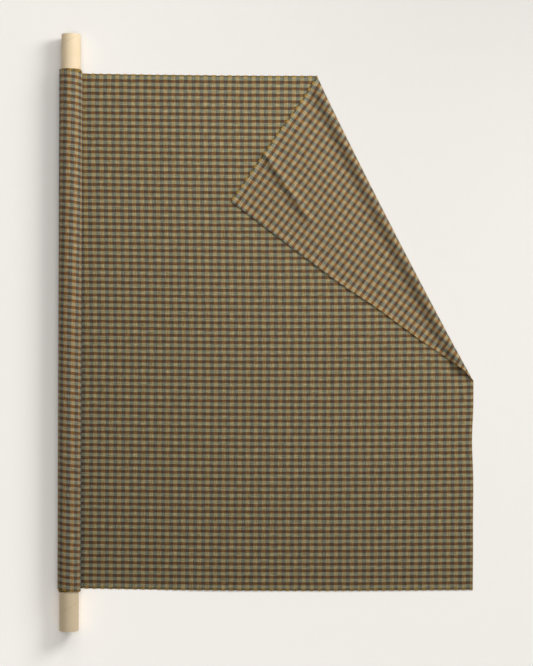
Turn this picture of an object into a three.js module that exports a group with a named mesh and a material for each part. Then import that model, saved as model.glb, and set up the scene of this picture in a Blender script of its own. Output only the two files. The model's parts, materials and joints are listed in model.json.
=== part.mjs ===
// A fabric bolt: checked furnishing cloth rolled on a paperboard core. Part of the cloth is
// unrolled flat, and its far upper corner is turned back so that the reverse shows.
// Millimetres. +Y runs along the core, +X points from the roll to the cut end of the cloth
// and +Z is up. The origin is under the middle of the whole bolt, on the surface it lies on.

import * as THREE from 'three';

// Core tube. It stands out past the cloth by this much at each end, if the cloth is centred
const coreStandOut = 105;
const coreOuterDiameter = 52;
const coreWall = 3.5;

// Cloth
const clothWidth = 1400;
const clothThickness = 0.6;
const clothOffCentre = 5;
const selvedgeWidth = 6;

// Cloth on the core
const turnsOnCore = 6;
const turnGap = 0.13;
const lipAngle = 11;

// Tape that starts the cloth on the core
const tapeCount = 3;
const tapeSpacing = 560;
const tapeWidth = 50;
const tapeThickness = 0.25;
const tapeAngle = 70;

// Cloth on the table: from the roll's axis to the cut end, and how far the corner is turned back
// along the upper selvedge and along the cut end
const spreadReach = 1095;
const foldBackOnSelvedge = 426.5;
const foldBackOnEnd = 827.5;

// Turned corner: the mean radius of its soft bend, and how far its tip comes from the hinge line
const bendRadius = 1.5;
const tipAlongFold = 191.3;
const tipDepth = 364.2;

// Clearances
const glueGap = 0.15;
const seamGap = 0.3;
const layerGap = 0.3;
const hingeGap = 0.2;
const rollToSpreadGap = 12;
const reserveMargin = 10;
const bendEndGap = 8;

// Facets in a full circle
const coreFacets = 48;
const spiralFacets = 36;
const bendFacets = 24;

// Colours
const boardTan = 0xdcc79f;
const tapeCream = 0xe8e2cf;
const selvedgeGold = 0x9a7a3a;
const rollOlive = 0x7a6a4c;
const spreadOlive = 0x6a5c40;
const flapOlive = 0x8a7a58;
const bendOlive = 0x7f6f4e;

// What follows from the sizes
const halfCircle = Math.PI;
const fullCircle = 2 * Math.PI;
const coreLength = clothWidth + 2 * coreStandOut;
const coreRadius = coreOuterDiameter / 2;
const turnPitch = clothThickness + turnGap;
const tapeInnerRadius = coreRadius + glueGap;
const firstTurnRadius = tapeInnerRadius + tapeThickness + glueGap;
const rollRadius = firstTurnRadius + clothThickness + turnsOnCore * turnPitch;
const turnLength = fullCircle * (rollRadius - clothThickness / 2);
const lipTurn = THREE.MathUtils.degToRad(lipAngle);
const bottomAngle = -halfCircle / 2;

const upperEdge = clothOffCentre + clothWidth / 2;
const lowerEdge = clothOffCentre - clothWidth / 2;
const leftmostRadius = rollRadius - turnPitch / 4;
const axisX = (leftmostRadius - spreadReach) / 2;
const endX = axisX + spreadReach;

// The laid cloth is in two layers, so that the near length can slide under the far length
const nearZ = 0;
const farZ = clothThickness + layerGap;
const flapTipZ = farZ + clothThickness + layerGap;
const lipRadius = rollRadius + turnPitch * lipTurn / fullCircle;
const lipSweep = Math.sqrt(lipRadius ** 2 - (rollRadius - clothThickness) ** 2);
const nearStartX = axisX + lipSweep + seamGap;
const farStartX = axisX + turnLength + rollRadius + rollToSpreadGap;
const nearEndX = farStartX + turnLength + reserveMargin;

// The fold: its outer line, and the hinge line inside it at the centre of the bend
const foldStart = new THREE.Vector2(endX - foldBackOnSelvedge, upperEdge);
const foldEnd = new THREE.Vector2(endX, upperEdge - foldBackOnEnd);
const foldDirection = foldEnd.clone().sub(foldStart).normalize();
const foldOutward = new THREE.Vector2(-foldDirection.y, foldDirection.x);
const foldLength = foldStart.distanceTo(foldEnd);
const bendOuterRadius = bendRadius + clothThickness / 2;
const hingePoint = foldStart.clone().addScaledVector(foldOutward, -bendOuterRadius);
const hingeZ = farZ + clothThickness / 2 + bendRadius;
const flapTilt = Math.asin((hingeZ + bendRadius - flapTipZ - clothThickness / 2) / tipDepth);

const bolt = new THREE.Group();

function cloth(color) {
  return new THREE.MeshStandardMaterial({ color, roughness: 0.92, metalness: 0 });
}

function addPiece(parent, name, geometry, material) {
  const piece = new THREE.Mesh(geometry, material);
  piece.name = name;
  parent.add(piece);
  return piece;
}

// A flat sheet with the given outline, standing on z = 0
function sheet(points, thickness) {
  const outline = new THREE.Shape(points);
  return new THREE.ExtrudeGeometry(outline, { depth: thickness, bevelEnabled: false });
}

// Where the line through a, along directionA, meets the line through b, along directionB
function meet(a, directionA, b, directionB) {
  const between = b.clone().sub(a);
  const along = between.cross(directionB) / directionA.cross(directionB);
  return a.clone().addScaledVector(directionA, along);
}

// The core: a straight paperboard tube, open at both ends
function coreTube() {
  const half = coreLength / 2;
  const inner = coreRadius - coreWall;
  const wall = [
    new THREE.Vector2(inner, -half),
    new THREE.Vector2(coreRadius, -half),
    new THREE.Vector2(coreRadius, half),
    new THREE.Vector2(inner, half),
    new THREE.Vector2(inner, -half),
  ];
  return new THREE.LatheGeometry(wall, coreFacets);
}

// A band of the rolled cloth between two places along the core. The roll is one spiral: it comes
// in along the table, turns up the left side and winds inwards to the core.
function woundBand(fromY, toY) {
  const steps = Math.round(turnsOnCore * spiralFacets);
  const step = fullCircle / spiralFacets;
  const outside = [];
  const inside = [];
  for (let i = -1; i <= steps; i += 1) {
    const turned = i < 0 ? -lipTurn : i * step;
    const angle = bottomAngle - turned;
    const radius = rollRadius - turnPitch * turned / fullCircle;
    const direction = new THREE.Vector2(Math.cos(angle), Math.sin(angle));
    outside.push(direction.clone().multiplyScalar(radius));
    inside.push(direction.clone().multiplyScalar(radius - clothThickness));
  }
  const geometry = sheet([...outside, ...inside.reverse()], toY - fromY);
  geometry.rotateX(halfCircle / 2);
  return geometry.translate(0, toY, 0);
}

// One strip of tape, bent round the core under the cloth's inner end
function starterTape(centreY) {
  const arc = THREE.MathUtils.degToRad(tapeAngle);
  const from = bottomAngle;
  const outline = new THREE.Shape();
  outline.absarc(0, 0, tapeInnerRadius + tapeThickness, from, from + arc, false);
  outline.absarc(0, 0, tapeInnerRadius, from + arc, from, true);
  const settings = { depth: tapeWidth, bevelEnabled: false, curveSegments: spiralFacets / 4 };
  const geometry = new THREE.ExtrudeGeometry(outline, settings);
  geometry.rotateX(halfCircle / 2);
  return geometry.translate(0, centreY + tapeWidth / 2, 0);
}

// The roll turns about the core's axis
function buildRoll() {
  const roll = new THREE.Group();
  roll.position.set(axisX, 0, rollRadius);
  const board = new THREE.MeshStandardMaterial({ color: boardTan, roughness: 0.75, metalness: 0 });
  const tape = new THREE.MeshStandardMaterial({ color: tapeCream, roughness: 0.5, metalness: 0 });
  addPiece(roll, 'core_tube', coreTube(), board);
  for (let i = 0; i < tapeCount; i += 1) {
    const centreY = clothOffCentre + (i - (tapeCount - 1) / 2) * tapeSpacing;
    addPiece(roll, `starter_tape_${i + 1}`, starterTape(centreY), tape);
  }
  const innerUpper = upperEdge - selvedgeWidth;
  const innerLower = lowerEdge + selvedgeWidth;
  addPiece(roll, 'wound_selvedge_upper', woundBand(innerUpper, upperEdge), cloth(selvedgeGold));
  addPiece(roll, 'wound_cloth', woundBand(innerLower + seamGap, innerUpper - seamGap), cloth(rollOlive));
  addPiece(roll, 'wound_selvedge_lower', woundBand(lowerEdge, innerLower), cloth(selvedgeGold));
  return roll;
}

// A length of laid cloth as three strips: the body and the selvedge along each edge. The strips
// run from startX, and each ends where endAt says for its y.
function addLaidLength(parent, name, startX, endAt, z, color) {
  const innerUpper = upperEdge - selvedgeWidth;
  const innerLower = lowerEdge + selvedgeWidth;
  const strips = [
    [`${name}_selvedge_upper`, innerUpper, upperEdge, selvedgeGold],
    [`${name}_length`, innerLower + seamGap, innerUpper - seamGap, color],
    [`${name}_selvedge_lower`, lowerEdge, innerLower, selvedgeGold],
  ];
  for (const [stripName, fromY, toY, stripColor] of strips) {
    const outline = [
      new THREE.Vector2(startX, fromY),
      ...endAt(fromY, toY),
      new THREE.Vector2(startX, toY),
    ];
    const strip = addPiece(parent, stripName, sheet(outline, clothThickness), cloth(stripColor));
    strip.position.z = z;
  }
}

// The near length leaves the roll and runs on under the far length, as a reserve of one turn
function buildNear() {
  const near = new THREE.Group();
  const squareEnd = (fromY, toY) => [
    new THREE.Vector2(nearEndX, fromY),
    new THREE.Vector2(nearEndX, toY),
  ];
  addLaidLength(near, 'near', nearStartX, squareEnd, nearZ, spreadOlive);
  return near;
}

// The far length runs to the cut end, and is cut off along the fold where the corner turns back
function buildFar() {
  const far = new THREE.Group();
  const foldSide = hingePoint.clone().addScaledVector(foldOutward, -hingeGap);
  const across = new THREE.Vector2(1, 0);
  const along = new THREE.Vector2(0, 1);
  const foldAtEnd = meet(foldSide, foldDirection, new THREE.Vector2(endX, 0), along);
  const cutEnd = (fromY, toY) => {
    if (toY <= foldAtEnd.y) {
      return [new THREE.Vector2(endX, fromY), new THREE.Vector2(endX, toY)];
    }
    const foldAtTop = meet(foldSide, foldDirection, new THREE.Vector2(0, toY), across);
    const foldAtBottom = meet(foldSide, foldDirection, new THREE.Vector2(0, fromY), across);
    if (fromY >= foldAtEnd.y) {
      return [foldAtBottom, foldAtTop];
    }
    return [new THREE.Vector2(endX, fromY), foldAtEnd, foldAtTop];
  };
  addLaidLength(far, 'far', farStartX, cutEnd, farZ, spreadOlive);
  return far;
}

// The soft bend that joins the far length to the turned corner, along most of the fold
function foldBend() {
  const outline = new THREE.Shape();
  const quarter = halfCircle / 2;
  outline.absarc(0, 0, bendOuterRadius, -quarter, quarter, false);
  outline.absarc(0, 0, bendOuterRadius - clothThickness, quarter, -quarter, true);
  const settings = {
    depth: foldLength - 2 * bendEndGap,
    bevelEnabled: false,
    curveSegments: bendFacets / 2,
  };
  const geometry = new THREE.ExtrudeGeometry(outline, settings);
  const toFold = new THREE.Matrix4().makeBasis(
    new THREE.Vector3(0, 1, 0),
    new THREE.Vector3(0, 0, 1),
    new THREE.Vector3(1, 0, 0),
  );
  geometry.applyMatrix4(toFold);
  return geometry.translate(bendEndGap, hingeGap, 0);
}

// The turned corner, in a frame with x along the hinge line and y pointing out of the cloth.
// Its selvedge is the short side, from the fold's upper end to the tip.
function buildCorner() {
  const corner = new THREE.Group();
  corner.position.set(hingePoint.x, hingePoint.y, hingeZ);
  corner.rotation.z = foldDirection.angle();

  const along = new THREE.Vector2(1, 0);
  const selvedgeAngle = -foldDirection.angle();
  const selvedgeLine = new THREE.Vector2(Math.cos(selvedgeAngle), Math.sin(selvedgeAngle));
  const endLine = new THREE.Vector2(-selvedgeLine.y, selvedgeLine.x);
  const outerStart = new THREE.Vector2(0, bendOuterRadius);
  const outerEnd = new THREE.Vector2(foldLength, bendOuterRadius);
  const foldSide = new THREE.Vector2(0, -hingeGap);
  const topCorner = meet(outerStart, selvedgeLine, foldSide, along);
  const endCorner = meet(outerEnd, endLine, foldSide, along);
  const tip = new THREE.Vector2(tipAlongFold, -tipDepth);

  const shortSide = tip.clone().sub(topCorner).normalize();
  const longSide = endCorner.clone().sub(tip).normalize();
  const inward = new THREE.Vector2(-shortSide.y, shortSide.x);
  const stripLine = topCorner.clone().addScaledVector(inward, selvedgeWidth);
  const bodyLine = topCorner.clone().addScaledVector(inward, selvedgeWidth + seamGap);
  const strip = [
    topCorner,
    tip,
    meet(stripLine, shortSide, tip, longSide),
    meet(stripLine, shortSide, foldSide, along),
  ];
  const body = [
    meet(bodyLine, shortSide, foldSide, along),
    meet(bodyLine, shortSide, tip, longSide),
    endCorner,
  ];

  const lean = new THREE.Group();
  lean.rotation.x = flapTilt;
  corner.add(lean);
  const restZ = bendRadius - clothThickness / 2;
  const flap = addPiece(lean, 'turned_corner', sheet(body, clothThickness), cloth(flapOlive));
  flap.position.z = restZ;
  const edge = addPiece(lean, 'corner_selvedge', sheet(strip, clothThickness), cloth(selvedgeGold));
  edge.position.z = restZ;
  addPiece(corner, 'fold_bend', foldBend(), cloth(bendOlive));
  return corner;
}

bolt.add(buildRoll());
bolt.add(buildNear());
bolt.add(buildFar());
bolt.add(buildCorner());

export default bolt;
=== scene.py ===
import json
import math

import bmesh
import bpy
import numpy as np
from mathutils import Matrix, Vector, noise


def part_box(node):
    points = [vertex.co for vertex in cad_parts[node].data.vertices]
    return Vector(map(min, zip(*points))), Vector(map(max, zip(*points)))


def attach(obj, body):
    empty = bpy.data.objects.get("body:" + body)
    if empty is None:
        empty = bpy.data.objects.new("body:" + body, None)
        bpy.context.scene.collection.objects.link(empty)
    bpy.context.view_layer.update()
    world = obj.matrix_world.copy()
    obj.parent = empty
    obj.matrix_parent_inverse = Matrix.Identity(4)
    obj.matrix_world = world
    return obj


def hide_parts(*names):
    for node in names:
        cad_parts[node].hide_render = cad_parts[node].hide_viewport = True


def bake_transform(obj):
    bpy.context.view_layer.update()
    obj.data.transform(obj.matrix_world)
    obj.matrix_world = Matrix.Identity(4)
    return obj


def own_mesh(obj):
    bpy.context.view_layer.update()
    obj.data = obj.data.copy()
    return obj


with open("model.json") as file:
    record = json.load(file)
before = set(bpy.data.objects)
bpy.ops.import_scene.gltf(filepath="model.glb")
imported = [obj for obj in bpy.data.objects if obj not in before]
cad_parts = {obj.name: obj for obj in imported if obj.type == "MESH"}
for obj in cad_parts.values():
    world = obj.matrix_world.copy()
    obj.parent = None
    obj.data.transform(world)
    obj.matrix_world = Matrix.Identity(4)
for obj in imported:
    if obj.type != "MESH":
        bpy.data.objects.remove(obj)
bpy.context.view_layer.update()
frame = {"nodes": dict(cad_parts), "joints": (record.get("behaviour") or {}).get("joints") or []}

# ---- Camera and light ----------------------------------------------------------------------
# Metres throughout. The roll lies along Y, the cloth runs from under it towards +X, and the bolt
# is seen from straight above. A large soft light stands low beyond the upper right corner, the
# room's white walls fill the shade, and the floor is a pale studio sweep.

camera_height = 4.5
camera_aside = (-0.0011, 0.0008)
camera_turn = math.radians(0.21)
seen_length = 1.812
camera_data = bpy.data.cameras.new("camera")
camera_data.sensor_width = 36
camera_data.lens = camera_data.sensor_width * camera_height / seen_length
camera = bpy.data.objects.new("camera", camera_data)
camera.location = (*camera_aside, camera_height)
camera.rotation_euler = (0, 0, camera_turn)
bpy.context.scene.collection.objects.link(camera)
bpy.context.scene.camera = camera
bpy.context.scene.view_settings.view_transform = "Standard"


def linear(hex_colour):
    """An sRGB hex colour as linear red, green, blue and alpha."""
    parts = [int(hex_colour[i:i + 2], 16) / 255 for i in (0, 2, 4)]
    return [p / 12.92 if p <= 0.04045 else ((p + 0.055) / 1.055) ** 2.4 for p in parts] + [1]


def node(tree, kind, links=(), **settings):
    """Adds a node. Settings are its properties, links are (input, value or socket)."""
    made = tree.nodes.new(kind)
    for name, value in settings.items():
        setattr(made, name, value)
    for name, value in links:
        if isinstance(value, bpy.types.NodeSocket):
            tree.links.new(value, made.inputs[name])
        else:
            made.inputs[name].default_value = value
    return made


def new_material(name):
    """An empty material, with its tree and its Principled shader."""
    made = bpy.data.materials.new(name)
    made.use_nodes = True
    return made, made.node_tree, made.node_tree.nodes["Principled BSDF"]


def area_light(name, azimuth, elevation, distance, size, power):
    """A square soft light that faces the middle of the bolt."""
    data = bpy.data.lights.new(name, "AREA")
    data.size = size
    data.energy = power
    light = bpy.data.objects.new(name, data)
    a, e = math.radians(azimuth), math.radians(elevation)
    place = Vector((math.cos(a) * math.cos(e), math.sin(a) * math.cos(e), math.sin(e)))
    light.location = place * distance
    light.visible_camera = False
    light.rotation_mode = "QUATERNION"
    light.rotation_quaternion = place.to_track_quat("Z", "Y")
    bpy.context.scene.collection.objects.link(light)


area_light("key", azimuth=41, elevation=35, distance=2.7, size=1.2, power=64)
area_light("window", azimuth=97, elevation=45, distance=2.0, size=1.4, power=10)
area_light("ceiling", azimuth=90, elevation=90, distance=5.2, size=3.0, power=66)
world = bpy.data.worlds.new("white_room")
world.use_nodes = True
world.node_tree.nodes["Background"].inputs["Color"].default_value = (1.0, 0.99, 0.97, 1)
world.node_tree.nodes["Background"].inputs["Strength"].default_value = 0.20
bpy.context.scene.world = world

# The floor lies a hair below the cloth, and its edge is far out of sight
floor_size = 120
floor_drop = 0.0004
bpy.ops.object.select_all(action="DESELECT")
bpy.ops.mesh.primitive_plane_add(size=floor_size, location=(0, 0, -floor_drop))
floor = bpy.context.object
floor.name = "floor"

# Matt white paint on board: no gloss, and a mottle too faint to show as a pattern. Its colour
# carries painted shade: it is made a little darker towards the lights and lighter away from them, by
# tint = near + slope x distance + curve x distance squared, so that the lights' falloff is evened
# out and the sweep looks even all over
tint_from = (1.0, 1.4, 0)
tint_near = 0.40
tint_slope = 0.28
tint_curve = 0.065
tint_most = 1.8
sweep, tree, shader = new_material("painted_studio_sweep")
grain = node(tree, "ShaderNodeTexNoise", [("Scale", 30.0), ("Detail", 3.0)])
place = node(tree, "ShaderNodeTexCoord")
tree.links.new(place.outputs["Object"], grain.inputs["Vector"])
tone = node(tree, "ShaderNodeMix", [(0, grain.outputs["Fac"])], data_type="RGBA")
tone.inputs[6].default_value = linear("e2dfda")
tone.inputs[7].default_value = linear("e4e1dc")
# Painted shade: the distance from the lights' foot sets how much the sweep's colour is scaled
away = node(tree, "ShaderNodeVectorMath", [(0, place.outputs["Object"]), (1, tint_from)],
            operation="DISTANCE")
slope = node(tree, "ShaderNodeMath", [(0, away.outputs["Value"]), (1, tint_curve), (2, tint_slope)],
             operation="MULTIPLY_ADD")
tint = node(tree, "ShaderNodeMath", [(0, slope.outputs[0]), (1, away.outputs["Value"]),
                                     (2, tint_near)], operation="MULTIPLY_ADD")
tint = node(tree, "ShaderNodeMath", [(0, tint.outputs[0]), (1, tint_most)], operation="MINIMUM")
tinted = node(tree, "ShaderNodeVectorMath", [(0, tone.outputs[2])], operation="SCALE")
tree.links.new(tint.outputs[0], tinted.inputs["Scale"])
tree.links.new(tinted.outputs[0], shader.inputs["Base Color"])
shader.inputs["Roughness"].default_value = 0.9
shader.inputs["Specular IOR Level"].default_value = 0.1
floor.data.materials.append(sweep)

# ---- Core ----------------------------------------------------------------------------------
# A tube of pale paperboard, wound from glued strips on a slant. The strips' edges show as faint
# lines round the tube and as fine layers on its sawn ends, which are slightly rounded.

core_low, core_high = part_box("core_tube")
axis_x = (core_low.x + core_high.x) / 2
axis_z = (core_low.z + core_high.z) / 2
core_radius = (core_high.z - core_low.z) / 2
core_wall = 0.0035
core_rounding = 0.0008
core_facets = 96
strip_width = 0.09
seam_share = 0.02
ply_thick = 0.0005

bpy.ops.object.select_all(action="DESELECT")
bpy.ops.mesh.primitive_cylinder_add(
    vertices=core_facets, radius=core_radius, depth=core_high.y - core_low.y, end_fill_type="NOTHING"
)
paper_core = bpy.context.object
paper_core.name = "paper_core"
bpy.ops.object.mode_set(mode="EDIT")
bpy.ops.mesh.select_all(action="SELECT")
bpy.ops.mesh.subdivide(number_cuts=1)
bpy.ops.mesh.select_all(action="DESELECT")
bpy.ops.object.mode_set(mode="OBJECT")
wall = paper_core.modifiers.new("wall", "SOLIDIFY")
wall.thickness = core_wall
wall.offset = -1
edge = paper_core.modifiers.new("edge", "BEVEL")
edge.width = core_rounding
edge.segments = 3
edge.limit_method = "ANGLE"
for modifier in ("wall", "edge"):
    bpy.ops.object.modifier_apply(modifier=modifier)
paper_core.rotation_euler = (math.pi / 2, 0, 0)
paper_core.location = (axis_x, (core_low.y + core_high.y) / 2, axis_z)
bpy.ops.object.transform_apply(location=True, rotation=True, scale=True)
bpy.ops.object.shade_smooth_by_angle(angle=math.radians(40))

# Recycled paperboard, wound and glued: a pale, slightly waxy surface with brown flecks of fibre, a
# darker line where two strips meet, and fine layers on the sawn end
paperboard, tree, shader = new_material("spiral_wound_paperboard")
place = node(tree, "ShaderNodeTexCoord")
centred = node(tree, "ShaderNodeMapping", [("Vector", place.outputs["Object"])])
centred.inputs["Location"].default_value = (-axis_x, 0, -axis_z)
axes = node(tree, "ShaderNodeSeparateXYZ", [("Vector", centred.outputs["Vector"])])
turn = node(tree, "ShaderNodeMath", [(0, axes.outputs["Z"]), (1, axes.outputs["X"])],
            operation="ARCTAN2")
turned = node(tree, "ShaderNodeMath", [(0, turn.outputs[0]), (1, 2 * math.pi)], operation="DIVIDE")
slant = node(tree, "ShaderNodeMath",
             [(0, axes.outputs["Y"]), (1, 1 / strip_width), (2, turned.outputs[0])],
             operation="MULTIPLY_ADD")
across = node(tree, "ShaderNodeMath", [(0, slant.outputs[0])], operation="FRACT")
seam = node(tree, "ShaderNodeMapRange",
            [("Value", across.outputs[0]), ("From Min", 0.0), ("From Max", seam_share),
             ("To Min", 1.0), ("To Max", 0.0)], interpolation_type="SMOOTHSTEP")
fibre = node(tree, "ShaderNodeTexNoise",
             [("Vector", centred.outputs["Vector"]), ("Scale", 900.0), ("Detail", 4.0),
              ("Roughness", 0.7)])
patch = node(tree, "ShaderNodeTexNoise",
             [("Vector", centred.outputs["Vector"]), ("Scale", 25.0), ("Detail", 2.0)])
radius = node(tree, "ShaderNodeVectorMath", [(0, centred.outputs["Vector"]), (1, (1, 0, 1))],
              operation="MULTIPLY")
length = node(tree, "ShaderNodeVectorMath", [(0, radius.outputs[0])], operation="LENGTH")
ply = node(tree, "ShaderNodeMath", [(0, length.outputs["Value"]), (1, 2 * math.pi / ply_thick)],
           operation="MULTIPLY")
plies = node(tree, "ShaderNodeMath", [(0, ply.outputs[0])], operation="SINE")
inside = node(tree, "ShaderNodeMapRange",
              [("Value", length.outputs["Value"]), ("From Min", core_radius - 0.0004),
               ("From Max", core_radius - 0.0001), ("To Min", 1.0), ("To Max", 0.0)])
layered = node(tree, "ShaderNodeMath", [(0, plies.outputs[0]), (1, inside.outputs[0])],
               operation="MULTIPLY")
base = node(tree, "ShaderNodeMix", [(0, patch.outputs["Fac"])], data_type="RGBA")
base.inputs[6].default_value = linear("d4be9a")
base.inputs[7].default_value = linear("ddc9a9")
flecked = node(tree, "ShaderNodeMix", [(6, base.outputs[2]), (7, linear("b8a077"))],
               data_type="RGBA")
fleck = node(tree, "ShaderNodeMapRange",
             [("Value", fibre.outputs["Fac"]), ("From Min", 0.55), ("From Max", 0.8),
              ("To Min", 0.0), ("To Max", 0.35)])
tree.links.new(fleck.outputs[0], flecked.inputs[0])
seamed = node(tree, "ShaderNodeMix", [(6, flecked.outputs[2]), (7, linear("ab9368"))],
              data_type="RGBA")
seam_strength = node(tree, "ShaderNodeMath", [(0, seam.outputs[0]), (1, 0.55)],
                     operation="MULTIPLY")
tree.links.new(seam_strength.outputs[0], seamed.inputs[0])
ended = node(tree, "ShaderNodeMix", [(6, seamed.outputs[2]), (7, linear("9b8460"))],
             data_type="RGBA")
end_strength = node(tree, "ShaderNodeMath", [(0, layered.outputs[0]), (1, 0.5)],
                    operation="MULTIPLY", use_clamp=True)
tree.links.new(end_strength.outputs[0], ended.inputs[0])
tree.links.new(ended.outputs[2], shader.inputs["Base Color"])
rise = node(tree, "ShaderNodeMath", [(0, seam.outputs[0]), (1, -0.6), (2, fibre.outputs["Fac"])],
            operation="MULTIPLY_ADD")
bump = node(tree, "ShaderNodeBump", [("Height", rise.outputs[0]), ("Strength", 0.25),
                                     ("Distance", 0.0003)])
tree.links.new(bump.outputs["Normal"], shader.inputs["Normal"])
shader.inputs["Roughness"].default_value = 0.62
shader.inputs["IOR"].default_value = 1.5
shader.inputs["Specular IOR Level"].default_value = 0.35
paper_core.data.materials.append(paperboard)
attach(paper_core, "roll")
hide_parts("core_tube")

# ---- Starter tapes -------------------------------------------------------------------------
# Strips of double-sided cloth tape that hold the cloth's inner end on the core, under all the
# turns. Woven carrier cloth with a dull coat of glue.

# The carrier's threads show through the glue, which leaves it a little shiny
tape_weave = 0.0012
cloth_tape, tree, shader = new_material("double_sided_cloth_tape")
place = node(tree, "ShaderNodeTexCoord")
threads = node(tree, "ShaderNodeTexWave",
               [("Vector", place.outputs["Object"]), ("Scale", 0.5 / tape_weave),
                ("Distortion", 1.0)], bands_direction="Y")
tone = node(tree, "ShaderNodeMix", [(0, threads.outputs["Fac"])], data_type="RGBA")
tone.inputs[6].default_value = linear("d9d2bd")
tone.inputs[7].default_value = linear("e8e2cf")
tree.links.new(tone.outputs[2], shader.inputs["Base Color"])
bump = node(tree, "ShaderNodeBump", [("Height", threads.outputs["Fac"]), ("Strength", 0.3),
                                     ("Distance", 0.0002)])
tree.links.new(bump.outputs["Normal"], shader.inputs["Normal"])
shader.inputs["Roughness"].default_value = 0.45
for name, tape in frame["nodes"].items():
    if name.startswith("starter_tape"):
        tape.data.materials.clear()
        tape.data.materials.append(cloth_tape)

# ---- The cloth's weave ---------------------------------------------------------------------
# Plain-woven furnishing cloth. The warp runs along the cloth in rust and stone stripes and the
# weft crosses it in gold and slate stripes, so every crossing is a mix of two yarns. The map
# holds metres: u back from the cut end and v up from the lower selvedge.

check_along = 0.02185
check_across = 0.01771
rust_share = 0.47
gold_share = 0.5
first_gold = 0.405
first_rust = 0.44
stripe_blur = 0.1
# A real thread is about 0.5 mm; it is drawn at about twice that so that the weave shows
threads_along = 20
threads_across = 16
thread_height = 0.0003
# Slubs, as streaks per metre along and across the cloth and how far they lighten or darken it
warp_slubs = ((45.0, 450.0, 1), 0.36)
weft_slubs = ((450.0, 45.0, 1), 0.34)


def stripes(tree, distance, repeat, share, shift):
    """1 in the named yarn's stripe and 0 in the other's, with edges as soft as mixed threads."""
    count = node(tree, "ShaderNodeMath", [(0, distance), (1, 1 / repeat), (2, shift)],
                 operation="MULTIPLY_ADD")
    part = node(tree, "ShaderNodeMath", [(0, count.outputs[0])], operation="FRACT")
    away = node(tree, "ShaderNodeMath", [(0, part.outputs[0]), (1, 0.5)], operation="SUBTRACT")
    away = node(tree, "ShaderNodeMath", [(0, away.outputs[0])], operation="ABSOLUTE")
    made = node(tree, "ShaderNodeMapRange",
                [("Value", away.outputs[0]), ("From Min", share / 2 - stripe_blur / 2),
                 ("From Max", share / 2 + stripe_blur / 2), ("To Min", 1.0), ("To Max", 0.0)],
                interpolation_type="SMOOTHSTEP")
    return made.outputs[0]


def mix(tree, factor, first, second, kind="MIX"):
    """Two colours mixed. Each is a socket or a linear colour."""
    made = node(tree, "ShaderNodeMix", [(0, factor), (6, first), (7, second)],
                data_type="RGBA", blend_type=kind, clamp_factor=True)
    return made.outputs[2]


def woven(name, rust_slate, rust_gold, stone_slate, stone_gold, contrast, only_weft=False):
    """The check, from the four colours its crossings have. Selvedge loops show only the weft.
    Spun yarn is matt with a faint sheen of loose fibres, and uneven in thickness and in shade."""
    made, tree, shader = new_material(name)
    uv = node(tree, "ShaderNodeUVMap", uv_map="UVMap")
    axes = node(tree, "ShaderNodeSeparateXYZ", [("Vector", uv.outputs["UV"])])
    u, v = axes.outputs["X"], axes.outputs["Y"]
    gold = stripes(tree, u, check_along, gold_share, first_gold)
    rust = stripes(tree, v, check_across, rust_share, first_rust)
    rusty = mix(tree, gold, linear(rust_slate), linear(rust_gold))
    stony = mix(tree, gold, linear(stone_slate), linear(stone_gold))
    colour = mix(tree, rust, stony, rusty)
    if only_weft:
        colour = mix(tree, gold, linear(rust_slate), linear(stone_gold))

    # Which thread is on top: the sign of one sine times the other
    sines = []
    for distance, threads in ((u, threads_along / check_along), (v, threads_across / check_across)):
        angle = node(tree, "ShaderNodeMath", [(0, distance), (1, math.pi * threads)],
                     operation="MULTIPLY")
        sines.append(node(tree, "ShaderNodeMath", [(0, angle.outputs[0])], operation="SINE"))
    over = node(tree, "ShaderNodeMath", [(0, sines[0].outputs[0]), (1, sines[1].outputs[0])],
                operation="MULTIPLY")
    warp_up = node(tree, "ShaderNodeMapRange",
                   [("Value", over.outputs[0]), ("From Min", -0.25), ("From Max", 0.25)],
                   interpolation_type="SMOOTHSTEP")
    weft_yarn = mix(tree, gold, linear("3c413c"), linear("96722a"))
    warp_yarn = mix(tree, rust, linear("928f75"), linear("673c26"))
    top_yarn = mix(tree, warp_up.outputs[0], weft_yarn, warp_yarn)
    if not only_weft:
        colour = mix(tree, contrast, colour, top_yarn)

    # Slubs: every yarn is a little thick and thin, light and dark, along its length
    for streaks, amount in (warp_slubs, weft_slubs):
        stretched = node(tree, "ShaderNodeMapping",
                         [("Vector", uv.outputs["UV"]), ("Scale", streaks)])
        slub = node(tree, "ShaderNodeTexNoise",
                    [("Vector", stretched.outputs["Vector"]), ("Scale", 1.0), ("Detail", 2.0)])
        shade = node(tree, "ShaderNodeMapRange",
                     [("Value", slub.outputs["Fac"]), ("From Min", 0.25), ("From Max", 0.75),
                      ("To Min", 1.0 - amount), ("To Max", 1.0 + amount)])
        colour = mix(tree, 1.0, colour, shade.outputs[0], "MULTIPLY")
    tree.links.new(colour, shader.inputs["Base Color"])

    lift = node(tree, "ShaderNodeMath", [(0, over.outputs[0])], operation="ABSOLUTE")
    bump = node(tree, "ShaderNodeBump", [("Height", lift.outputs[0]), ("Strength", 0.35),
                                         ("Distance", thread_height)])
    tree.links.new(bump.outputs["Normal"], shader.inputs["Normal"])
    shader.inputs["Roughness"].default_value = 0.95
    shader.inputs["Specular IOR Level"].default_value = 0.12
    shader.inputs["Sheen Weight"].default_value = 0.08
    shader.inputs["Sheen Roughness"].default_value = 0.6
    return made


right_side = woven("woven_check_right_side", "47392b", "64492c", "6a6b5b", "8e8360", 0.25)
reverse_side = woven("woven_check_reverse", "4e3f2f", "74502d", "6e7063", "978869", 0.35)
loops = woven("weft_loops_of_the_selvedge", "544a30", "8c6d2e", "544a30", "8c6d2e", 0.0, True)

# ---- Making a length of cloth --------------------------------------------------------------
# A length is cut flat on a grid and gets its map there. Then its points are laid in place and
# it is given the cloth's thickness, with the right side up and the reverse underneath.

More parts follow.
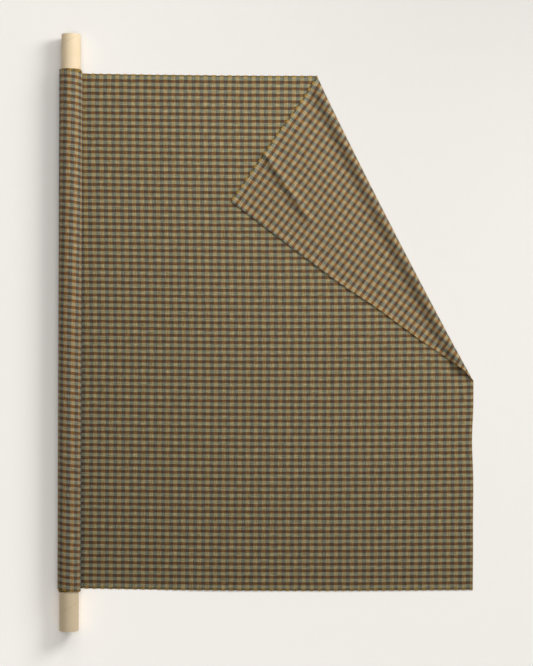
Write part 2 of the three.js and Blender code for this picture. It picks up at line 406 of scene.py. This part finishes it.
near_low, near_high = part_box("near_length")
far_low, far_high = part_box("far_length")
lower_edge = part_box("near_selvedge_lower")[0].y
upper_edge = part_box("near_selvedge_upper")[1].y
cut_end = far_high.x
cloth_thick = near_high.z - near_low.z

# The weft was not beaten up quite square: towards the upper selvedge it runs ahead by 9 mm
weft_skew = 0.0093
skew_from = -0.15
skew_to = 0.68


def smooth(low, high, value):
    """0 below low, 1 above high, and a smooth step between."""
    share = min(1.0, max(0.0, (value - low) / (high - low)))
    return share * share * (3 - 2 * share)


def cut_flat(name, low, high, step, cuts=(), axes=None):
    """A flat grid from low to high, trimmed by cuts: (point, direction of what is thrown away).
    axes is (origin, along, across) where the grid doesn't run along X and Y."""
    origin, along, across = axes or (Vector((0, 0, 0)), Vector((1, 0, 0)), Vector((0, 1, 0)))
    lines = []
    for axis in (0, 1):
        wanted = step[axis]
        if isinstance(wanted, (int, float)):
            count = max(1, round((high[axis] - low[axis]) / wanted))
            wanted = np.linspace(low[axis], high[axis], count + 1)
        lines.append(wanted)
    mesh = bmesh.new()
    points = [
        [mesh.verts.new(origin + along * float(x) + across * float(y)) for y in lines[1]]
        for x in lines[0]
    ]
    for i in range(len(lines[0]) - 1):
        for j in range(len(lines[1]) - 1):
            corners = [points[i][j], points[i + 1][j], points[i + 1][j + 1], points[i][j + 1]]
            mesh.faces.new(corners)
    for point, away in cuts:
        everything = mesh.verts[:] + mesh.edges[:] + mesh.faces[:]
        bmesh.ops.bisect_plane(mesh, geom=everything, dist=1e-7, plane_co=point, plane_no=away,
                               clear_outer=True)
    chart = mesh.loops.layers.uv.new("UVMap")
    for face in mesh.faces:
        for loop in face.loops:
            flat = loop.vert.co
            ahead = weft_skew * smooth(skew_from, skew_to, flat.y)
            loop[chart].uv = (cut_end - flat.x - ahead, flat.y - lower_edge)
    data = bpy.data.meshes.new(name)
    mesh.to_mesh(data)
    mesh.free()
    made = bpy.data.objects.new(name, data)
    bpy.context.scene.collection.objects.link(made)
    return made


def lay(piece, place_of, materials):
    """Moves each flat point to its place and gives the cloth its thickness."""
    for vertex in piece.data.vertices:
        vertex.co = place_of(vertex.co)
    for material in materials:
        piece.data.materials.append(material)
    bpy.ops.object.select_all(action="DESELECT")
    piece.select_set(True)
    bpy.context.view_layer.objects.active = piece
    body = piece.modifiers.new("body", "SOLIDIFY")
    body.thickness = cloth_thick
    body.offset = 0
    body.material_offset = 1 if len(materials) > 1 else 0
    body.material_offset_rim = 0
    bpy.ops.object.modifier_apply(modifier="body")
    bpy.ops.object.shade_smooth_by_angle(angle=math.radians(50))


# The cloth was not pulled quite straight: between the roll and its cut end it bows a little. The
# shears wandered too, and left a shallow dip in the cut end
bow = 0.0047
end_dip = 0.0036
end_dip_at = -0.285
end_dip_width = 0.068
end_waver = 0.0012
end_wavers_per_metre = 11
end_share = 0.93

# The selvedge: the width of its fringe of loops, how far apart the loops are, how far they stand
# out, how much further the gold ones do than the slate ones, and how unevenly
edge_band = 0.0036
edge_wave = 0.0036
edge_reach = 0.0011
edge_scallop = 0.0006
uneven_per_metre = 180


def settle(placed):
    """A laid point, moved as the cloth bows and as its cut end wanders."""
    share = min(1.0, max(0.0, (placed.x - axis_x) / (cut_end - axis_x)))
    dip = end_dip * math.exp(-((placed.y - end_dip_at) / end_dip_width) ** 2)
    waver = noise.noise(Vector((placed.y * end_wavers_per_metre, 6.0, 2.0)))
    dip += end_waver * (0.5 + 0.5 * waver)
    placed.x -= dip * smooth(end_share, 1.0, share)
    placed.y -= bow * math.sin(math.pi * share)
    return placed


def waves(x, y, seed, size):
    """Slow waves from 0 to 1, size metres across."""
    return 0.5 + 0.5 * noise.noise(Vector((x / size, y / size, seed)))


def loop_edge(outer, along):
    """The selvedge's outline: the weft turns back in small loops that stand out by a millimetre,
    and the looser gold wefts stand out further than the slate ones."""
    loop = abs(math.sin(math.pi * along / edge_wave))
    loop += 0.5 * noise.noise(Vector((along * uneven_per_metre, outer, 5.0))) - 0.4
    back = cut_end - along - (weft_skew if outer > 0 else 0.0)
    gold = math.cos(2 * math.pi * (back / check_along + first_gold - 0.5))
    return outer * (edge_reach * loop + edge_scallop * gold)


# ---- Cloth on the core ---------------------------------------------------------------------
# Six loose turns of the same cloth, wound reverse side out. It comes in under the roll from the
# right, turns up the left side and winds inwards. Hand winding leaves the turns a little uneven.

turns = 6
turn_pitch = 0.00073
lip_angle = math.radians(11)
middle_radius = axis_z - cloth_thick / 2
steps_per_turn = 60
# How loosely the turns lie on each other, and how far they wander along the core
slack = 0.00022
slack_per_metre = 6
wander = 0.0042
wander_per_radian = 0.9
wound_length = sum(
    2 * math.pi * (middle_radius - turn_pitch * (k + 0.5) / steps_per_turn) / steps_per_turn
    for k in range(turns * steps_per_turn)
)


def wind(flat):
    """A flat point beyond the roll's underside, wound on the core. Past the first fraction of a
    turn, where it lies on the table, it is wound a little loosely and wanders along the core."""
    length = axis_x - flat.x
    turned = length / middle_radius
    for _ in range(3):
        turned = length / (middle_radius - turn_pitch * turned / (4 * math.pi))
    loose = Vector((math.cos(turned), math.sin(turned), flat.y * slack_per_metre))
    radius = middle_radius - turn_pitch * turned / (2 * math.pi)
    radius += slack * noise.noise(loose) if turned > 0.3 else 0.0
    aside = wander * math.sin(turned * wander_per_radian) * smooth(0.0, 2.0, turned)
    angle = -math.pi / 2 - turned
    return Vector((axis_x + radius * math.cos(angle), flat.y + aside,
                   axis_z + radius * math.sin(angle)))


lip = lip_angle * middle_radius
wound_step = (2 * math.pi * middle_radius / steps_per_turn, 0.03)
wound_loop_step = (0.0012, edge_band / 2)
cloth_on_core = cut_flat("cloth_on_core", (axis_x - wound_length, lower_edge + edge_band),
                         (axis_x + lip, upper_edge - edge_band), wound_step)
lay(cloth_on_core, wind, [right_side, reverse_side])
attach(cloth_on_core, "roll")
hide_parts("wound_cloth")

for name, edge_y, outer in (("upper", upper_edge, 1), ("lower", lower_edge, -1)):
    inner = edge_y - outer * edge_band
    low, high = min(inner, edge_y), max(inner, edge_y)
    strip = cut_flat(f"loops_on_core_{name}", (axis_x - wound_length, low), (axis_x + lip, high),
                     wound_loop_step)

    def wind_edge(flat, edge_y=edge_y, outer=outer):
        placed = wind(flat)
        if abs(flat.y - edge_y) < 1e-6:
            placed.y += loop_edge(outer, flat.x)
        return placed

    lay(strip, wind_edge, [loops])
    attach(strip, "roll")
    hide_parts(f"wound_selvedge_{name}")

# ---- Near length ---------------------------------------------------------------------------
# The cloth between the roll and the overlap. It leaves the roll's underside flat on the table
# and runs on below the far length, where the rest of it waits to be paid out.


def lay_near(flat):
    """The near length lies flat, level with the roll's underside."""
    return settle(Vector((flat.x, flat.y, cloth_thick / 2)))


def add_length(label, low_x, high_x, step, place_of, body, cuts=()):
    """A laid length and the loops along its two selvedges, which meet it edge to edge."""
    cloth = cut_flat(f"cloth_{label}", (low_x, lower_edge + edge_band),
                     (high_x, upper_edge - edge_band), step, cuts)
    lay(cloth, place_of, [right_side, reverse_side])
    edges = []
    for name, edge_y, outer in (("upper", upper_edge, 1), ("lower", lower_edge, -1)):
        inner = edge_y - outer * edge_band
        low, high = min(inner, edge_y), max(inner, edge_y)
        strip = cut_flat(f"loops_{label}_{name}", (low_x, low), (high_x, high),
                         (edge_wave / 4, edge_band / 2), cuts)

        def place_edge(flat, edge_y=edge_y, outer=outer):
            placed = place_of(flat)
            if abs(flat.y - edge_y) < 1e-6:
                placed.y += loop_edge(outer, flat.x)
            return placed

        lay(strip, place_edge, [loops])
        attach(strip, body)
        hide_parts(f"{label}_selvedge_{name}")
        edges.append(strip)
    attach(cloth, body)
    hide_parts(f"{label}_length")
    return cloth, edges


near_step = (0.03, 0.03)
cloth_near, near_edges = add_length("near", near_low.x, near_high.x, near_step, lay_near, "near")

# ---- Far length ----------------------------------------------------------------------------
# The rest of the spread cloth, out to the plain cut end. It lies in very slow waves, settles down
# on to the near length where the two overlap, and stops at the fold where the corner turns back.

fold_joint = next(joint for joint in frame["joints"] if joint["name"] == "corner_fold")
hinge = Vector(fold_joint["pos_m"])
fold_along = -Vector(fold_joint["axis"])
fold_out = Vector((-fold_along.y, fold_along.x, 0))
joint_inset = 0.0002
outer_line = 0.0018
fold_cut = hinge - fold_out * joint_inset
fold_top = (upper_edge - hinge.y) / fold_along.y
fold_length = (cut_end - hinge.x) / fold_along.x - fold_top
fold_bow = 0.0084
fold_bow_shape = 0.45
far_bow_fades = 0.09

far_z = (far_low.z + far_high.z) / 2
far_step = (0.012, 0.012)
feather = 0.03
feather_drop = 0.00025
wave_height = 0.0016
wave_sizes = (0.16, 0.4)
waves_rise_by_fold = 0.06
waves_rise_by_overlap = 0.1


def bowed(along, inward, fades_over):
    """How far the soft fold draws in from a straight line between its two ends."""
    share = min(1.0, max(0.0, (along - fold_top) / fold_length))
    drawn = fold_bow * math.sin(math.pi * share) ** fold_bow_shape
    return drawn * (1 - smooth(0.0, fades_over, inward))


def corner_depth(along):
    """How far the unfolded corner reaches out from the hinge line, for a place along it."""
    by_selvedge = outer_line + along * fold_out.x / fold_along.x
    by_cut_end = outer_line + (fold_length - along) * fold_along.x / fold_out.x
    return max(0.0, min(by_selvedge, by_cut_end))


def lay_far(flat):
    """The far length, with its slow waves dying out at the overlap and under the corner."""
    height = wave_height * waves(flat.x, flat.y, 3.0, wave_sizes[0])
    height *= waves(flat.x, flat.y, 8.0, wave_sizes[1])
    from_fold = -(flat - fold_cut).dot(fold_out)
    along = (flat - hinge).dot(fold_along)
    height *= smooth(0.0, waves_rise_by_fold, from_fold - corner_depth(along))
    height *= smooth(far_low.x, far_low.x + waves_rise_by_overlap, flat.x)
    drop = (1 - smooth(far_low.x, far_low.x + feather, flat.x)) * feather_drop
    inwards = fold_out * bowed(along, from_fold, far_bow_fades)
    return settle(Vector((flat.x - inwards.x, flat.y - inwards.y, far_z + height - drop)))


cloth_far, far_edges = add_length("far", far_low.x, cut_end, far_step, lay_far, "spread",
                                  [(fold_cut, fold_out)])
fold_top_x = hinge.x + fold_along.x / fold_along.y * (upper_edge - edge_band - hinge.y)
fold_end_y = hinge.y + fold_along.y / fold_along.x * (cut_end - hinge.x)
corner_flat = (cut_end - fold_top_x, upper_edge - edge_band - fold_end_y)
corner_area = corner_flat[0] * corner_flat[1] / 2

# ---- Turned corner -------------------------------------------------------------------------
# The far upper corner, folded back over the cloth so that its reverse shows. The fold isn't
# pressed: it stands up in a soft roll beside a hollow, and a slack crease crosses the corner.

bend_radius = hinge.z - far_z
rest_height = 0.0021

# The roll of the fold: its height and how far it bellies out, then how far in from the hinge line
# its top starts, ends and eases off, where it meets the cloth and where it is quite flat. Last,
# how soon it rises from the fold's two ends, and its least share of the height there
roll_height = 0.0155
roll_belly = 0.0022
roll_top = (0.0035, 0.0095, 0.021)
roll_foot = 0.0265
roll_width = 0.048
roll_rises_over = 0.05
roll_falls_over = 0.045
roll_least = 0.25

# Cloth folded on the bias stretches unevenly, so the flap reaches less far by its tip
tip_reach = 0.956
long_reach = 0.993
reach_turns = (0.19, 0.85)
stretch_limits = (0.95, 1.06)

# The crease crosses the corner on a slant, and rises and dies away along it. Its start is a
# place along the fold and one in from it
crease_start = (0.111, 0.224)
crease_slant = 0.112
crease_height = 0.0115
crease_width = 0.0095
crease_rises = (0.06, 0.13)
crease_dies = (0.29, 0.38)

# Elsewhere the corner is a little slack, and its edges stand up
slack_height = 0.0016
slack_size = 0.09
slack_rises = (0.06, 0.12)
slack_dies_over = 0.05
edge_lift = 0.003
edge_lift_width = 0.03
edge_lift_rises = (0.03, 0.045)
seam_out = 0.070
seam_calm = 0.02
flap_bow_fades = 0.2


def bezier(points, share):
    """The points of a cubic curve."""
    a, b, c, d = (np.array(p) for p in points)
    t = share[:, None]
    return (1 - t) ** 3 * a + 3 * (1 - t) ** 2 * t * b + 3 * (1 - t) * t ** 2 * c + t ** 3 * d


fold_sections = {}


def fold_section(along):
    """The fold's section: arc length, distance in from the hinge line and height above it."""
    key = round(along, 4)
    if key not in fold_sections:
        ends = smooth(0.0, roll_rises_over, along)
        ends *= smooth(0.0, roll_falls_over, fold_length - along)
        swell = 0.97 + 0.25 * noise.noise(Vector((along * 7, 2.0, 0.0)))
        tall = roll_height * (roll_least + (1 - roll_least) * ends) * swell
        flat_z = rest_height - hinge.z
        top_z = flat_z + tall
        share = np.linspace(0, 1, 25)
        rising = bezier([(0, -bend_radius), (-roll_belly, tall * 0.55 - bend_radius),
                         (roll_top[0], top_z), (roll_top[1], top_z)], share)
        falling = bezier([(roll_top[1], top_z), (roll_top[2], top_z),
                          (roll_foot, flat_z), (roll_width, flat_z)], share[1:])
        line = np.concatenate([rising, falling])
        steps = np.linalg.norm(np.diff(line, axis=0), axis=1)
        arc = np.concatenate([[0], np.cumsum(steps)])
        fold_sections[key] = arc, line[:, 0], line[:, 1]
    return fold_sections[key]


def fold_over(flat):
    """A flat point of the corner, turned back over the cloth."""
    from_hinge = flat - hinge
    along = from_hinge.dot(fold_along)
    out = from_hinge.dot(fold_out) + joint_inset
    depth = corner_depth(along)
    arc, inwards, heights = fold_section(along)
    if out <= arc[-1]:
        inward = float(np.interp(out, arc, inwards))
        height = float(np.interp(out, arc, heights))
    else:
        reach = tip_reach + (long_reach - tip_reach) * smooth(*reach_turns, along)
        stretch = (reach * depth - roll_width) / max(depth - arc[-1], 1e-6)
        stretch = min(stretch_limits[1], max(stretch_limits[0], stretch))
        inward = roll_width + (out - arc[-1]) * stretch
        height = rest_height - hinge.z
    crease_at = crease_start[1] - crease_slant * (along - crease_start[0])
    crease = math.exp(-((inward - crease_at) / crease_width) ** 2)
    crease *= smooth(*crease_rises, along) * (1 - smooth(*crease_dies, along))
    loose = waves(along, inward, 11.0, slack_size) * smooth(*slack_rises, inward)
    loose *= smooth(0.0, slack_dies_over, depth - out)
    lifted = edge_lift * (1 - smooth(0.0, edge_lift_width, depth - out))
    lifted *= smooth(*edge_lift_rises, inward)
    lifted *= 0.4 + 0.6 * smooth(0.0, seam_calm, abs(out - seam_out))
    height += crease_height * crease + slack_height * loose
    height = max(height, rest_height - hinge.z + lifted)
    inward += bowed(along, inward, flap_bow_fades)
    placed = hinge + fold_along * along - fold_out * (inward + joint_inset)
    placed.z += height
    return settle(placed)


def fold_edge_over(flat):
    """The corner's selvedge, with its loops standing out before it is folded over."""
    moved = flat.copy()
    if abs(flat.y - upper_edge) < 1e-6:
        moved.y += loop_edge(1, flat.x)
    return fold_over(moved)


# The corner is made in two pieces that meet edge to edge where the cloth lies flat: the roll of
# the fold, and the flap beyond it, which turns over whole
inner_edge = upper_edge - edge_band
corner_axes = (hinge, fold_along, fold_out)
past_end = (Vector((cut_end, 0, 0)), Vector((1, 0, 0)))
off_cloth = (Vector((0, inner_edge, 0)), Vector((0, 1, 0)))
off_loops = [(Vector((0, upper_edge, 0)), Vector((0, 1, 0))),
             (Vector((0, inner_edge, 0)), Vector((0, -1, 0)))]
deepest = max(corner_depth(0.001 * i) for i in range(int(fold_length * 1000)))
# The grids run past the corner's outline and are trimmed to it. Rows are close round the bend
spare_ends = 0.03
loops_reach = 0.25
corner_step = 0.005
corner_loop_step = 0.0009
bend_row = 0.0011
bend_rows = 12
roll_row = 0.0024
fold_rows = [bend_row * i for i in range(bend_rows)]
fold_rows += [bend_row * (bend_rows - 1) + roll_row * i for i in range(1, 24)]
fold_rows.append(seam_out)
flap_rows = list(np.arange(seam_out, deepest + 0.01, corner_step))
flap_share = 1 - seam_out / deepest
fold_flat = (seam_out, fold_length)
flap_flat = (corner_flat[0] * flap_share, corner_flat[1] * flap_share)
flap_area = corner_area * flap_share ** 2

# Both pieces and their loops are laid folded over. The flap rides on the corner's body; the roll
# of the fold is left in place, on no body
for label, part_rows, flat_size, area, node_name in (
    ("fold", fold_rows, fold_flat, corner_area - flap_area, "fold_bend"),
    ("corner", flap_rows, flap_flat, flap_area, "turned_corner"),
):
    rows = [row - joint_inset for row in part_rows]
    cloth_part = cut_flat(f"cloth_{label}", (-spare_ends, 0), (fold_length + spare_ends, 0),
                          (corner_step, rows), [past_end, off_cloth], corner_axes)
    lay(cloth_part, fold_over, [right_side, reverse_side])
    loops_part = cut_flat(f"loops_{label}", (-spare_ends, 0), (loops_reach, 0),
                          (corner_loop_step, rows), [past_end] + off_loops, corner_axes)
    lay(loops_part, fold_edge_over, [loops])
    for piece in (cloth_part, loops_part):
        if label == "fold":
            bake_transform(piece)
        else:
            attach(piece, "corner")
            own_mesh(piece)
    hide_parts(node_name)
    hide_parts("corner_selvedge")
